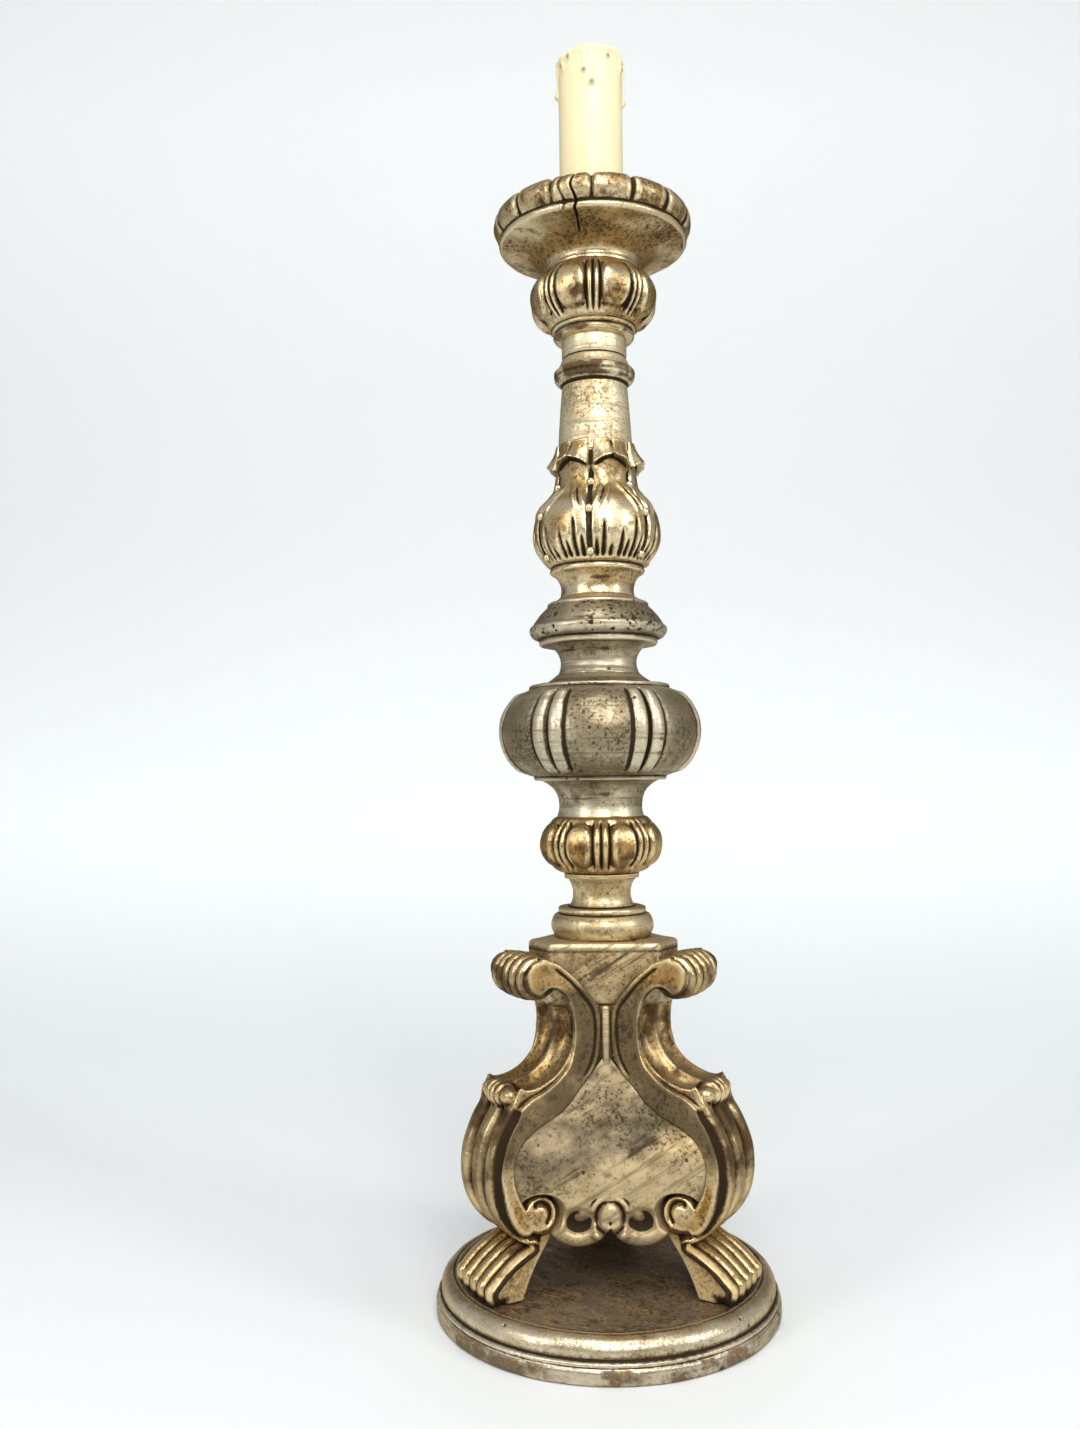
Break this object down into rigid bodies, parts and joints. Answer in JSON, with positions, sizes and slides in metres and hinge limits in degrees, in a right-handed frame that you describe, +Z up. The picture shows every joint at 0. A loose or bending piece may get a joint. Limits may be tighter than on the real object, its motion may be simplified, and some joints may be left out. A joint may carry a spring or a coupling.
{
  "type": "candlestick lamp",
  "caption": "Carved and gilded candlestick with scroll legs on a round plinth, a turned stem, a drip pan and a false candle over a screw lampholder.",
  "frame": {"origin": "centre of the plinth's underside", "axes": "+Z up the stem, -Y towards the front panel, +X to the viewer's right"},
  "size_m": [0.14, 0.14, 0.5237],
  "materials": {
    "gilded_wood": "carved wood with silver leaf under gold lacquer, worn on the edges and dark in the hollows",
    "silvered_wood": "turned wood with worn silver leaf, greyer and scratched",
    "bare_wood": "bare softwood",
    "zinc_steel": "zinc plated",
    "brass": "plain brass",
    "dark_moulding": "moulded thermoset",
    "ivory_moulding": "waxy ivory sleeve"
  },
  "bodies": {
    "stand": {"leg_left": "gilded_wood", "leg_right": "gilded_wood", "leg_back": "gilded_wood", "panel_front": "gilded_wood", "panel_right": "gilded_wood", "panel_left": "gilded_wood", "cap_block": "gilded_wood", "stem_foot": "gilded_wood", "lower_knop": "gilded_wood", "leaf_vase": "gilded_wood", "column": "gilded_wood", "upper_knop": "gilded_wood", "drip_pan": "gilded_wood", "plinth": "silvered_wood", "ball_knop": "silvered_wood", "collar_disc": "silvered_wood", "core_post": "bare_wood", "foot_dowels": "bare_wood", "tie_tube": "zinc_steel", "bottom_washer": "zinc_steel", "bottom_nut": "zinc_steel", "top_nut": "zinc_steel", "holder_bracket": "zinc_steel", "bracket_screws": "zinc_steel", "screw_shell": "brass", "terminal_screws": "brass", "holder_body": "dark_moulding"},
    "sleeve": {"candle_sleeve": "ivory_moulding"},
    "contact": {"centre_contact": "brass"}
  },
  "joints": [
    {"name": "sleeve_lift", "type": "slide", "parent": "stand", "child": "sleeve", "axis": [0, 0, 1], "range_m": [0, 0.08]},
    {"name": "contact_press", "type": "slide", "parent": "stand", "child": "contact", "axis": [0, 0, -1], "range_m": [0, 0.001], "stiffness_N_per_m": 2000}
  ]
}
